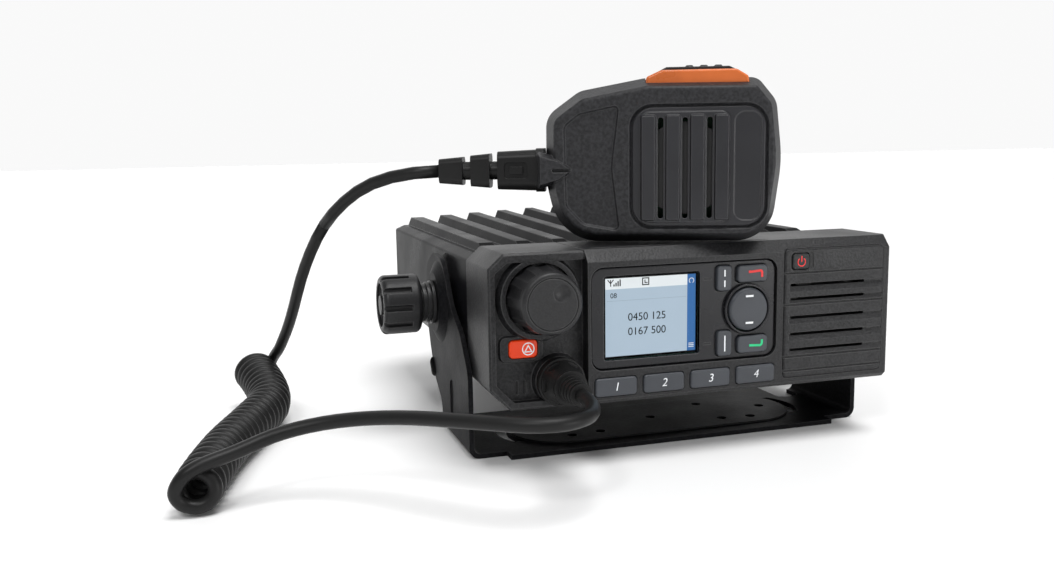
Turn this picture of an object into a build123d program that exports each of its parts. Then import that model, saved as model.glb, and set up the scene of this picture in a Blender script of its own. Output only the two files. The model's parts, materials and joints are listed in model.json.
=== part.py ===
from build123d import *
import os
from math import cos, pi, radians, sin, tan

# Vehicle two-way radio in a U-bracket, with a palm microphone standing on it.
# Millimetres.  +X is to the right of the front panel, the front panel faces -Y, +Z is up.
# The origin is the centre of the bracket's bolt pattern, on the underside of its base.

os.makedirs("parts", exist_ok=True)

# ---------------------------------------------------------------- driving dimensions
radio_width = 174.0        # over the front panel
panel_height = 60.0
panel_bottom = 25.0        # height of the panel's lower edge above the mounting surface
head_depth = 35.0          # front panel housing, front to back
body_length = 165.0        # cast body behind the panel housing
front_y = -50.0            # front plane of the display zone
wall = 2.5                 # moulded housing walls
gap = 0.3                  # clearance between pieces that move apart
running = 0.05             # radial clearance of a shaft in its hole

pivot_y = 26.0             # tilt axis of the radio in the bracket
pivot_z = 57.0
arm_outer = 89.7           # half width over the bracket's arms
sheet = 2.0                # bracket sheet steel

lead_diameter = 5.2        # microphone cord
coil_diameter = 18.0       # over the turns of the curly part

# ---------------------------------------------------------------- derived places
half_width = radio_width / 2
panel_top = panel_bottom + panel_height
head_back = front_y + head_depth
body_back = head_back + body_length
panel_middle = panel_bottom + panel_height / 2
lead_radius = lead_diameter / 2
coil_radius = coil_diameter / 2


def save(piece, name):
    """Label one finished piece and write it to its own file."""
    piece.label = name
    export_step(piece, f"parts/{name}.step")


def front_plane(y):
    """Drawing plane that faces the user: local x is +X, local y is +Z."""
    return Plane.XZ.offset(-y)


def side_plane(side, x):
    """Drawing plane on the tilt axis that faces outwards on one side."""
    return Plane(origin=(side * x, pivot_y, pivot_z), x_dir=(0, 1, 0), z_dir=(side, 0, 0))


def closed_outline(points, radii):
    """Face inside a closed outline with every corner rounded."""
    with BuildSketch() as outline:
        with BuildLine():
            FilletPolyline(*points, radius=radii, close=True)
        make_face()
    return outline.sketch


# ================================================================ bracket
base_front = -30.0
base_back = 36.0
arm_front = -24.0
arm_back = 24.0            # back edge of an arm's upright lower part
notch_inner = 73.0         # the base's back corners are notched beside the arms
notch_front = 12.0
arm_height = 84.0
bend_outer = 4.5
inner_arm = arm_outer - sheet
dish_rise = 2.5            # pressed boss round the pivot stands out this far
dish_outer_radius = 18.0
dish_top_radius = 13.0
stud_shoulder = 3.0
boss_face = arm_outer + dish_rise
boss_floor = inner_arm + dish_rise
stadium_length = 132.0
stadium_width = 44.0
emboss = 0.6
crescent_shift = 5.5
bolt_hole = 2.25
bolt_spacing_x = 58.0
bolt_spacing_y = 25.0

with BuildPart() as mounting_bracket:
    with BuildSketch(front_plane(base_front)):
        with Locations((0, arm_height)):
            RectangleRounded(2 * arm_outer, 2 * arm_height, bend_outer)
        with Locations((0, arm_height + sheet)):
            RectangleRounded(2 * inner_arm, 2 * arm_height, bend_outer - sheet, mode=Mode.SUBTRACT)
    extrude(amount=-100)
    # side view of an arm: upright at the base, leaning back to a broad ear round the pivot
    with BuildSketch(Plane.YZ.offset(-100)):
        add(closed_outline(
            [(base_front, -1), (base_back, -1), (34.5, 17), (46, 34), (54, 52), (50, 72),
             (34, 78), (18, 76), (4, 58), (-12, 49), (-23, 36), (base_front, 12)],
            [0.5, 0.5, 14, 14, 12, 12, 10, 12, 14, 10, 10, 0.5],
        ))
    extrude(amount=200, mode=Mode.INTERSECT)
    # the arms start a little behind the base's front edge
    for side in (-1, 1):
        with BuildSketch(Plane.XY.offset(-1)):
            with Locations((side * 84, base_front)):
                Rectangle(20, 2 * (arm_front - base_front))
        extrude(amount=120, mode=Mode.SUBTRACT)
        # rounded notch in each back corner of the base, and the arm's upright back edge
        with BuildSketch(Plane.XY.offset(-1)):
            with Locations((side * (notch_inner + inner_arm - 3) / 2, notch_front + 20)):
                RectangleRounded(inner_arm - 3 - notch_inner, 40, 4)
        extrude(amount=5, mode=Mode.SUBTRACT)
        with BuildSketch(Plane.YZ.offset(side * notch_inner)):
            add(closed_outline(
                [(arm_back, -60), (arm_back, 12), (42, 23.6), (80, -60)],
                [0.5, 9, 0.5, 0.5],
            ))
        extrude(amount=side * 30, mode=Mode.SUBTRACT)
    # round dish pressed outwards, so that only its floor meets the radio's pad
    for side in (-1, 1):
        with BuildSketch(side_plane(side, arm_outer)):
            Circle(dish_outer_radius)
        with BuildSketch(side_plane(side, boss_face)):
            Circle(dish_top_radius)
        loft()
    for side in (-1, 1):
        with BuildSketch(side_plane(side, inner_arm)):
            Circle(dish_outer_radius - sheet)
        with BuildSketch(side_plane(side, boss_floor)):
            Circle(dish_top_radius - sheet / 2)
        loft(mode=Mode.SUBTRACT)
        with BuildSketch(side_plane(side, inner_arm)):
            Circle(stud_shoulder + running)
        extrude(amount=10, mode=Mode.SUBTRACT)
        # upright groove in the outside of the lower arm
        with BuildSketch(Plane(origin=(side * arm_outer, 5, 16), x_dir=(0, 1, 0), z_dir=(side, 0, 0))):
            SlotOverall(21, 6.5, rotation=90)
        extrude(amount=-0.7, mode=Mode.SUBTRACT)
    # raised stadium in the middle of the base
    with BuildSketch(Plane.XY.offset(sheet)):
        SlotOverall(stadium_length, stadium_width)
    extrude(amount=emboss)
    # crescent openings beyond the stadium's ends
    with BuildSketch(Plane.XY.offset(-1)):
        SlotOverall(stadium_length + 2 * crescent_shift, stadium_width)
        SlotOverall(stadium_length + 1, stadium_width + 1, mode=Mode.SUBTRACT)
        Rectangle(stadium_length + 30, 26, mode=Mode.INTERSECT)
    extrude(amount=5, mode=Mode.SUBTRACT)
    # bolt holes: four corners, a centre hole, two outer ones and two by the front edge
    with BuildSketch(Plane.XY.offset(-1)):
        with GridLocations(bolt_spacing_x, bolt_spacing_y, 2, 2):
            Circle(bolt_hole)
        with GridLocations(110, 0, 2, 1):
            Circle(bolt_hole)
        with Locations((0, 0), (-42.5, -14), (42.5, -14)):
            Circle(bolt_hole)
    extrude(amount=6, mode=Mode.SUBTRACT)
save(mounting_bracket.part, "mounting_bracket")

pad_radius = 10.5
body_half = 85.7           # half width of the cast body at the pivot
for side, word in ((-1, "left"), (1, "right")):
    with BuildPart() as friction_pad:
        with BuildSketch(side_plane(side, body_half + gap)):
            Circle(pad_radius)
            Circle(stud_shoulder + 0.4, mode=Mode.SUBTRACT)
        extrude(amount=boss_floor - body_half - gap)
    save(friction_pad.part, f"{word}_friction_pad")

# small rubber stop on the back edge of the left arm
with BuildPart() as arm_stop:
    with BuildSketch(Plane(origin=(-arm_outer + 1, 39.2, 25.5), x_dir=(1, 0, 0), z_dir=(0, 0.83, -0.56))):
        RectangleRounded(4.6, 9, 2)
    extrude(amount=3.4)
    fillet(arm_stop.faces().sort_by(Axis((0, 0, 0), (0, 0.83, -0.56)))[-1].edges(), 1.4)
    add(mounting_bracket.part, mode=Mode.SUBTRACT)
save(arm_stop.part, "arm_stop")

# ================================================================ clamp knobs
knob_inner = 98.8
knob_outer = 115.5
knob_radius = 12.8
lobes = 10
thread_radius = 2.5
washer_inner = boss_face + gap

for side, word in ((-1, "left"), (1, "right")):
    with BuildPart() as clamp_stud:
        with BuildSketch(side_plane(side, body_half + gap)):
            Circle(stud_shoulder)
        extrude(amount=knob_outer - 6 - body_half - gap)
        with BuildSketch(side_plane(side, 76)):
            Circle(thread_radius)
        extrude(amount=body_half + gap - 76)
    save(clamp_stud.part, f"{word}_clamp_stud")

    with BuildPart() as clamp_washer:
        for step in range(3):
            with BuildSketch(side_plane(side, washer_inner + 2.0 * step)):
                Circle(9.4 - 0.5 * step)
            extrude(amount=1.3)
        with BuildSketch(side_plane(side, washer_inner)):
            Circle(7.6)
        extrude(amount=knob_inner - washer_inner)
        with BuildSketch(side_plane(side, washer_inner - 1)):
            Circle(stud_shoulder)
        extrude(amount=12, mode=Mode.SUBTRACT)
    save(clamp_washer.part, f"{word}_clamp_washer")

    with BuildPart() as clamp_knob:
        with BuildSketch(side_plane(side, knob_inner)):
            Circle(knob_radius)
        extrude(amount=knob_outer - knob_inner)
        fillet(clamp_knob.edges(), 2.2)
        # grip notches between the lobes, open towards the outer face
        with BuildSketch(side_plane(side, knob_inner + 4.5)):
            with PolarLocations(knob_radius + 0.4, lobes):
                SlotOverall(4.4, 2.6)
        extrude(amount=20, mode=Mode.SUBTRACT)
        # dished outer face with a raised hub
        with BuildSketch(side_plane(side, knob_outer - 1.6)):
            Circle(knob_radius - 3.2)
            Circle(4.2, mode=Mode.SUBTRACT)
        extrude(amount=4, mode=Mode.SUBTRACT)
        with BuildSketch(side_plane(side, knob_inner - 1)):
            Circle(stud_shoulder)
        extrude(amount=knob_outer - 5 - knob_inner, mode=Mode.SUBTRACT)
    save(clamp_knob.part, f"{word}_clamp_knob")

# ================================================================ cast body
deck_z = 81.0              # floor between the fins
deck_thick = 3.4
body_bottom = panel_bottom + 3.0
fin_count = 10
fin_pitch = 16.33
fin_front = 8.0
cast_wall = 2.8
rear_z = 56.0              # height of the rear connectors
power_inlet_x = 54.0
antenna_x = -54.0
antenna_radius = 7.9       # outside of the UHF socket's threaded barrel
antenna_length = 11.0
screw_pitch = (132.0, 75.0)  # six screws hold the bottom cover

with BuildPart() as cast_body:
    with BuildSketch(front_plane(head_back)):
        add(closed_outline(
            [(-74, body_bottom), (74, body_bottom), (body_half, 40), (body_half, 79),
             (81, deck_z), (-81, deck_z), (-body_half, 79), (-body_half, 40)],
            1.2,
        ))
    extrude(amount=-body_length)
    # cooling fins, each a ridge that rises towards the back, highest in the middle
    for count in range(fin_count):
        fin_x = (count - (fin_count - 1) / 2) * fin_pitch
        rise = 7.6 - 3.4 * abs(fin_x) / 73.5
        with BuildSketch(front_plane(head_back + 2)):
            with Locations((fin_x, deck_z - 0.2)):
                Trapezoid(9.2, 3.2, 62, align=(Align.CENTER, Align.MIN))
        with BuildSketch(front_plane(body_back)):
            with Locations((fin_x, deck_z - 0.2)):
                Trapezoid(10.2, rise, 68, align=(Align.CENTER, Align.MIN))
        loft()
    # the fins' front ends ramp down behind the panel housing
    with BuildSketch(Plane.YZ.offset(-100)):
        with BuildLine():
            Polyline((head_back, deck_z), (-4, deck_z), (fin_front, deck_z + 4), (fin_front, 100),
                     (head_back, 100), close=True)
        make_face()
    extrude(amount=200, mode=Mode.SUBTRACT)
    # the cavity opens downwards
    with BuildSketch(Plane.XY.offset(body_bottom - 1)):
        with Locations((0, (head_back + body_back) / 2)):
            RectangleRounded(2 * 73, body_length - 2 * cast_wall, 3)
    extrude(amount=12, mode=Mode.SUBTRACT)
    with BuildSketch(Plane.XY.offset(body_bottom + 11)):
        with Locations((0, (head_back + body_back) / 2)):
            RectangleRounded(2 * (body_half - cast_wall), body_length - 2 * cast_wall, 3)
    extrude(amount=deck_z - deck_thick - body_bottom - 11, mode=Mode.SUBTRACT)
    # bosses that take the clamp studs, and pillars for the cover's screws
    for side in (-1, 1):
        with BuildSketch(side_plane(side, body_half - cast_wall - 8)):
            Rectangle(16, 16)
        extrude(amount=8.5)
        with BuildSketch(side_plane(side, 75)):
            Circle(thread_radius + running)
        extrude(amount=20, mode=Mode.SUBTRACT)
    with BuildSketch(Plane.XY.offset(body_bottom)):
        with Locations((0, (head_back + body_back) / 2)):
            with GridLocations(*screw_pitch, 2, 3):
                Circle(3.4)
    extrude(amount=deck_z - deck_thick - body_bottom + 0.5)
    with BuildSketch(Plane.XY.offset(body_bottom - 1)):
        with Locations((0, (head_back + body_back) / 2)):
            with GridLocations(*screw_pitch, 2, 3):
                Circle(1.4)
    extrude(amount=12, mode=Mode.SUBTRACT)
    # openings in the rear wall for the three connectors, and a cable way to the panel
    with BuildSketch(front_plane(body_back - 10)):
        with Locations((antenna_x, rear_z)):
            Circle(antenna_radius + 0.1)
        with Locations((power_inlet_x, rear_z - 2)):
            RectangleRounded(24, 14, 2)
        with Locations((2, rear_z - 2)):
            RectangleRounded(46, 12, 2)
    extrude(amount=-20, mode=Mode.SUBTRACT)
    with BuildSketch(front_plane(head_back - 5)):
        with Locations((0, 56)):
            RectangleRounded(60, 8, 2)
    extrude(amount=-15, mode=Mode.SUBTRACT)
save(cast_body.part, "cast_body")

cover_thick = 1.5
cover_middle = (head_back + body_back) / 2
with BuildPart() as bottom_cover:
    with BuildSketch(Plane.XY.offset(body_bottom - cover_thick)):
        with Locations((0, cover_middle)):
            RectangleRounded(147, body_length - 1, 3)
            with GridLocations(*screw_pitch, 2, 3):
                Circle(1.7, mode=Mode.SUBTRACT)
    extrude(amount=cover_thick)
    # long stiffening swages pressed inwards
    for swage_x in (-36, 0, 36):
        with BuildSketch(Plane.XY.offset(body_bottom - cover_thick)):
            with Locations((swage_x, cover_middle)):
                SlotOverall(110, 8, rotation=90)
        extrude(amount=0.7, mode=Mode.SUBTRACT)
save(bottom_cover.part, "bottom_cover")

with BuildPart() as cover_screws:
    for place in GridLocations(*screw_pitch, 2, 3).locations:
        x, y = place.position.X, place.position.Y + cover_middle
        with BuildSketch(Plane.XY.offset(body_bottom - cover_thick - 0.9)):
            with Locations((x, y)):
                Circle(2.9)
        extrude(amount=0.9)
        with BuildSketch(Plane.XY.offset(body_bottom - cover_thick)):
            with Locations((x, y)):
                Circle(1.35)
        extrude(amount=9)
        with BuildSketch(Plane.XY.offset(body_bottom - cover_thick - 1)):
            with Locations((x, y)):
                RegularPolygon(1.3, 6)
        extrude(amount=0.8, mode=Mode.SUBTRACT)
save(cover_screws.part, "cover_screws")

# ---------------------------------------------------------------- electronics in the body
board_z = 44.0
with BuildPart() as main_board:
    with BuildSketch(Plane.XY.offset(board_z)):
        with Locations((0, cover_middle - 2)):
            RectangleRounded(150, 136, 2)
            for side in (-1, 1):
                with Locations((side * 78, pivot_y - cover_middle + 2)):
                    Rectangle(14, 18, mode=Mode.SUBTRACT)
                with Locations((side * screw_pitch[0] / 2, 2)):
                    Circle(4.2, mode=Mode.SUBTRACT)
    extrude(amount=1.6)
save(main_board.part, "main_board")

with BuildPart() as radio_shield:
    with BuildSketch(Plane.XY.offset(board_z + 1.6)):
        with Locations((-22, cover_middle - 18)):
            RectangleRounded(70, 82, 2)
    extrude(amount=9)
    with BuildSketch(Plane.XY.offset(board_z + 1.6)):
        with Locations((-22, cover_middle - 18)):
            RectangleRounded(68.8, 80.8, 1.5)
    extrude(amount=8.4, mode=Mode.SUBTRACT)
save(radio_shield.part, "radio_shield")

with BuildPart() as power_amplifier:
    with BuildSketch(Plane.XY.offset(deck_z - deck_thick - 8)):
        with Locations((34, cover_middle + 8)):
            RectangleRounded(52, 62, 2)
    extrude(amount=8)
    with BuildSketch(Plane.XY.offset(deck_z - deck_thick - 16)):
        with Locations((34, cover_middle - 8), (34, cover_middle + 20)):
            RectangleRounded(24, 12, 1)
    extrude(amount=8)
save(power_amplifier.part, "power_amplifier")

# ---------------------------------------------------------------- rear connectors
with BuildPart() as antenna_socket:
    with BuildSketch(front_plane(body_back)):
        with Locations((antenna_x, rear_z)):
            RectangleRounded(25.4, 25.4, 2)
            with GridLocations(18.3, 18.3, 2, 2):
                Circle(1.6, mode=Mode.SUBTRACT)
    extrude(amount=-2)
    with BuildSketch(front_plane(body_back - 7)):
        with Locations((antenna_x, rear_z)):
            Circle(antenna_radius)
    extrude(amount=-(7 + 2 + antenna_length))
    with BuildSketch(front_plane(body_back + 3)):
        with Locations((antenna_x, rear_z)):
            Circle(antenna_radius - 1.6)
            Circle(4.4, mode=Mode.SUBTRACT)
    extrude(amount=-20, mode=Mode.SUBTRACT)
    with BuildSketch(front_plane(body_back + 4)):
        with Locations((antenna_x, rear_z)):
            Circle(2.0)
    extrude(amount=-20, mode=Mode.SUBTRACT)
save(antenna_socket.part, "antenna_socket")

with BuildPart() as power_inlet:
    with BuildSketch(front_plane(body_back - 8)):
        with Locations((power_inlet_x, rear_z - 2)):
            RectangleRounded(23.6, 13.6, 2)
    extrude(amount=-19)
    with BuildSketch(front_plane(body_back + 1)):
        with Locations((power_inlet_x, rear_z - 2)):
            RectangleRounded(20, 10, 1.2)
            with Locations((-5, 0), (5, 0)):
                Circle(1.6, mode=Mode.SUBTRACT)
    extrude(amount=-20, mode=Mode.SUBTRACT)
save(power_inlet.part, "power_inlet")

with BuildPart() as accessory_socket:
    with BuildSketch(front_plane(body_back - 6)):
        with Locations((2, rear_z - 2)):
            RectangleRounded(45.6, 11.6, 2)
    extrude(amount=-10)
    with BuildSketch(front_plane(body_back + 4)):
        with Locations((2, rear_z - 2)):
            RectangleRounded(56, 14, 3)
    extrude(amount=4, mode=Mode.ADD)
    with BuildSketch(front_plane(body_back)):
        with Locations((2, rear_z - 2)):
            RectangleRounded(40, 7, 2)
            with GridLocations(2.8, 2.6, 13, 2):
                Circle(0.6, mode=Mode.SUBTRACT)
    extrude(amount=-10, mode=Mode.SUBTRACT)
save(accessory_socket.part, "accessory_socket")

# ================================================================ front panel housing
left_zone_right = -48.5    # the knob zone ends at a step up to the display zone
speaker_left = 35.3
rim_y = front_y + 2.5      # rim round the knob zone
floor_y = front_y + 6.0    # recessed floor of the knob zone
cap_back = front_y + 8.0
knob_x = -66.5
knob_z = 67.3
collar_radius = 17.0
volume_radius = 13.2
emergency_x = -73.2
emergency_z = 48.3
emergency_size = (11.3, 7.0)
cap_centre = (59.6, 54.9)  # speaker cap, seen from the front
cap_size = (47.2, 53.0)
cap_corner = 2.0
jack_x = -59.5
jack_z = 35.3
frame_low = (-47.2, 38.0)
frame_high = (33.0, 78.2)
key_row_z = 31.5
key_first_x = -37.2
key_pitch = 20.2
key_size = (17.4, 7.2)
frame_centre = ((frame_low[0] + frame_high[0]) / 2, (frame_low[1] + frame_high[1]) / 2)
frame_size = (frame_high[0] - frame_low[0], frame_high[1] - frame_low[1])
inner_front = front_y + wall


def keys_row():
    """Places of the four programmable keys."""
    return [(key_first_x + key_pitch * count, key_row_z) for count in range(4)]


gasket_depth = 1.2
gasket_outline = closed_outline(
    [(-86, 34), (-78.6, 26.2), (86, 26.2), (86, 83.8), (-80.6, 83.8), (-86, 79.1)],
    1.0,
)
with BuildSketch() as gasket_inside:
    add(gasket_outline)
    offset(amount=-0.9, kind=Kind.INTERSECTION)
gasket_hole = gasket_inside.sketch

with BuildPart() as front_housing:
    # knob zone, with cut corners on its outer side
    with BuildSketch(front_plane(head_back)):
        add(closed_outline(
            [(-half_width, 33.5), (-79, panel_bottom), (left_zone_right, panel_bottom),
             (left_zone_right, panel_top), (-81, panel_top), (-half_width, 79.5)],
            1.0,
        ))
    extrude(amount=head_back - rim_y)
    chamfer(front_housing.faces().sort_by(Axis.Y)[0].edges(), 0.8)
    # display zone, drawn from the side: bevelled above and below its front plane
    with BuildSketch(Plane.YZ.offset(left_zone_right)):
        with BuildLine():
            Polyline((head_back, panel_bottom), (front_y + 1.6, panel_bottom), (front_y, panel_bottom + 1.6),
                     (front_y, panel_top - 4.6), (front_y + 4.0, panel_top), (head_back, panel_top),
                     close=True)
        make_face()
    extrude(amount=half_width - left_zone_right)
    right_edges = front_housing.faces().sort_by(Axis.X)[-1].edges()
    fillet(right_edges.filter_by_position(Axis.Y, front_y - 1, front_y + 2.5), 2.4)
    # pocket that the speaker cap sits in
    with BuildSketch(front_plane(front_y - 1)):
        with Locations(cap_centre):
            RectangleRounded(*cap_size, cap_corner)
    extrude(amount=-(cap_back - front_y + 1), mode=Mode.SUBTRACT)
    # sunken floor of the knob zone
    with BuildSketch(front_plane(floor_y)):
        add(closed_outline(
            [(-84.4, 35), (-77.5, 28), (left_zone_right, 28), (left_zone_right, 81.5),
             (-79.5, 81.5), (-84.4, 77.5)],
            [2, 2, 0.3, 0.3, 2, 2],
        ))
    extrude(amount=20, mode=Mode.SUBTRACT)
    # flared collar round the volume knob
    with BuildSketch(front_plane(floor_y)):
        with Locations((knob_x, knob_z)):
            Circle(collar_radius)
    extrude(amount=3.4, taper=22)
    # raised frames round the emergency key and the microphone socket
    with BuildSketch(front_plane(floor_y)):
        with Locations((emergency_x - 0.6, emergency_z)):
            RectangleRounded(emergency_size[0] + 6.4, emergency_size[1] + 3.4, 2.8)
    extrude(amount=1.5, taper=20)
    with BuildSketch(front_plane(floor_y)):
        with Locations((jack_x, jack_z)):
            Circle(10.2)
        with Locations((jack_x, 60)):
            Rectangle(40, 64, mode=Mode.INTERSECT)
    extrude(amount=3.2, taper=14)
    with BuildSketch(front_plane(floor_y - 10)):
        with Locations((knob_x, knob_z)):
            Circle(volume_radius + 0.6)
    extrude(amount=-10, mode=Mode.SUBTRACT)
    # hollow inside, open to the cast body
    with BuildSketch(front_plane(head_back + 1)):
        add(closed_outline(
            [(-84.2, 35.2), (-77.6, 28), (left_zone_right - 2, 28), (left_zone_right - 2, 81.8),
             (-79.8, 81.8), (-84.2, 77.8)],
            0.6,
        ))
    extrude(amount=head_back + 1 - floor_y - wall, mode=Mode.SUBTRACT)
    with BuildSketch(front_plane(head_back + 1)):
        with Locations(((left_zone_right + speaker_left) / 2, panel_middle)):
            Rectangle(speaker_left - left_zone_right - 2, panel_height - 5)
    extrude(amount=16, mode=Mode.SUBTRACT)
    with BuildSketch(front_plane(head_back - 10)):
        with Locations((frame_centre[0], 52.2)):
            Rectangle(frame_size[0] + 0.8, 51.2)
    extrude(amount=head_back - 10 - inner_front, mode=Mode.SUBTRACT)
    with BuildSketch(front_plane(head_back + 1)):
        with Locations(((speaker_left + half_width) / 2, panel_middle)):
            Rectangle(half_width - speaker_left - 9, panel_height - 10)
    extrude(amount=30, mode=Mode.SUBTRACT)
    # opening for the display frame, with a narrow ledge
    with BuildSketch(front_plane(front_y - 1)):
        with Locations(frame_centre):
            RectangleRounded(*frame_size, 5)
    extrude(amount=-4, mode=Mode.SUBTRACT)
    # the four programmable keys, the emergency key, the microphone jack, the encoder shaft
    with BuildSketch(front_plane(front_y - 1)):
        with Locations(*keys_row()):
            RectangleRounded(key_size[0] + 2 * gap, key_size[1] + 2 * gap, 1.6)
    extrude(amount=-6, mode=Mode.SUBTRACT)
    with BuildSketch(front_plane(floor_y - 5)):
        with Locations((emergency_x, emergency_z)):
            RectangleRounded(emergency_size[0] + 2 * gap, emergency_size[1] + 2 * gap, 1.9)
        with Locations((jack_x, jack_z)):
            Circle(7.6)
        with Locations((knob_x, knob_z)):
            Circle(3.6)
    extrude(amount=-18, mode=Mode.SUBTRACT)
    # groove for the gasket in the back edge
    with BuildSketch(front_plane(head_back)):
        add(gasket_outline)
        add(gasket_hole, mode=Mode.SUBTRACT)
    extrude(amount=gasket_depth, mode=Mode.SUBTRACT)
    # vent lines low on the knob zone
    with BuildSketch(front_plane(floor_y)):
        with Locations((-75.5, 33), (-72.5, 33)):
            SlotOverall(5.5, 1.0, rotation=90)
    extrude(amount=-0.8, mode=Mode.SUBTRACT)
    # sight groove along the top bevel
    with BuildSketch(Plane.XY.offset(panel_top)):
        with Locations((-6, front_y + 7.5)):
            SlotOverall(78, 1.1)
    extrude(amount=-0.7, mode=Mode.SUBTRACT)
save(front_housing.part, "front_housing")

with BuildPart() as panel_gasket:
    with BuildSketch(front_plane(head_back)):
        add(gasket_outline)
        add(gasket_hole, mode=Mode.SUBTRACT)
    extrude(amount=gasket_depth)
save(panel_gasket.part, "panel_gasket")

# ---------------------------------------------------------------- display and keys of the panel
window_low = (-41.6, 41.6)
window_high = (-0.9, 74.6)
window_centre = ((window_low[0] + window_high[0]) / 2, (window_low[1] + window_high[1]) / 2)
window_size = (window_high[0] - window_low[0], window_high[1] - window_low[1])
frame_y = front_y + 1.1    # face of the display frame, just inside the housing's edge
frame_back = inner_front + 0.5
flange_y = frame_back + gap
flange_thick = 0.8
press = 0.7                # travel of the small keys
board_y = flange_y + flange_thick + press
nav_x = 19.6
nav_z = 58.3
nav_radius = 8.6
ring_radius = 10.2
small_keys = {
    "upper_soft_key": (9.1, 71.2, 6.4, 10.0, 1.6),
    "lower_soft_key": (9.4, 45.0, 6.4, 10.2, 1.6),
    "end_key": (21.6, 72.5, 13.4, 6.8, 1.8),
    "call_key": (22.0, 43.9, 13.4, 7.0, 1.8),
}

with BuildPart() as display_frame:
    with BuildSketch(front_plane(frame_y)):
        with Locations(frame_centre):
            RectangleRounded(frame_size[0] - 0.2, frame_size[1] - 0.2, 4.9)
    extrude(amount=-(frame_back - frame_y))
    # a sloping lip runs round the whole frame
    front_rim = display_frame.faces().sort_by(Axis.Y)[0].outer_wire().edges()
    chamfer(front_rim, 0.7)
    with BuildSketch(front_plane(frame_y - 1)):
        with Locations(window_centre):
            RectangleRounded(*window_size, 1.2)
        for place_x, place_z, size_x, size_z, corner in small_keys.values():
            with Locations((place_x, place_z)):
                RectangleRounded(size_x + 2 * gap, size_z + 2 * gap, corner)
        with Locations((nav_x, nav_z)):
            Circle(ring_radius)
    extrude(amount=-6, mode=Mode.SUBTRACT)
    # short tick lines beside the soft keys
    with BuildSketch(front_plane(frame_y)):
        with Locations((2.4, 71.2), (2.4, 45.2)):
            SlotOverall(3.4, 0.7)
    extrude(amount=-0.3, mode=Mode.SUBTRACT)
save(display_frame.part, "display_frame")

with BuildPart() as display_lens:
    with BuildSketch(front_plane(frame_y + 0.7)):
        with Locations(window_centre):
            RectangleRounded(*window_size, 1.2)
    extrude(amount=-1.0)
save(display_lens.part, "display_lens")

with BuildPart() as display_module:
    with BuildSketch(front_plane(frame_y + 1.7)):
        with Locations(window_centre):
            RectangleRounded(window_size[0] - 0.4, window_size[1] - 0.4, 0.8)
    extrude(amount=-(board_y - frame_y - 1.7))
save(display_module.part, "display_module")

with BuildPart() as keypad_board:
    with BuildSketch(front_plane(board_y)):
        with Locations((frame_centre[0], 52.4)):
            RectangleRounded(78, 49, 1.5)
    extrude(amount=-1.6)
save(keypad_board.part, "keypad_board")


def moulded_key(name, place_x, place_z, size_x, size_z, corner, face_y, flange, crown=0.6):
    """Key cap with rounded edges and a retaining flange behind the panel."""
    with BuildPart() as key:
        with BuildSketch(front_plane(flange)):
            with Locations((place_x, place_z)):
                RectangleRounded(size_x, size_z, corner)
        extrude(amount=flange - face_y)
        fillet(key.faces().sort_by(Axis.Y)[0].edges(), crown)
        with BuildSketch(front_plane(flange)):
            with Locations((place_x, place_z)):
                RectangleRounded(size_x + 1.6, size_z, corner)
        extrude(amount=-flange_thick)
    save(key.part, name)


key_face = front_y - 0.5
for name, (place_x, place_z, size_x, size_z, corner) in small_keys.items():
    moulded_key(name, place_x, place_z, size_x, size_z, corner, key_face, flange_y)
for count, (place_x, place_z) in enumerate(keys_row()):
    moulded_key(f"programmable_key_{count + 1}", place_x, place_z, *key_size, 1.4,
                front_y - 0.9, flange_y, 0.8)

with BuildPart() as navigation_ring:
    with BuildSketch(front_plane(frame_back)):
        with Locations((nav_x, nav_z)):
            Circle(ring_radius)
            Circle(nav_radius + 0.5, mode=Mode.SUBTRACT)
    extrude(amount=frame_back - front_y + 0.6)
    fillet(navigation_ring.faces().sort_by(Axis.Y)[0].edges(), 0.5)
save(navigation_ring.part, "navigation_ring")

with BuildPart() as navigation_rocker:
    with BuildSketch(front_plane(flange_y)):
        with Locations((nav_x, nav_z)):
            Circle(nav_radius)
    extrude(amount=flange_y - front_y + 1.4)
    fillet(navigation_rocker.faces().sort_by(Axis.Y)[0].edges(), 1.1)
    # pivot pin, along its hinge
    with BuildSketch(Plane.YZ.offset(nav_x - nav_radius - 0.3)):
        with Locations((flange_y + 0.4, nav_z)):
            Circle(0.8)
    extrude(amount=2 * nav_radius + 0.6)
    # two raised bars show the up and down ends
    with BuildSketch(front_plane(front_y - 1.2)):
        with Locations((nav_x, nav_z + 5.4), (nav_x, nav_z - 5.4)):
            SlotOverall(3.4, 1.0)
    extrude(amount=0.5)
save(navigation_rocker.part, "navigation_rocker")

# ---------------------------------------------------------------- speaker side
power_x = 43.6
power_z = 76.2
power_size = (8.0, 6.4)
slot_left = 39.4
slot_right = 74.2
slot_heights = (66.7, 61.0, 53.4, 46.5, 40.0)
line_heights = (71.6, 58.6, 37.2, 31.4)
cap_face = front_y - 0.6
cap_hollow = (43.6, 50.6)

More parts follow.
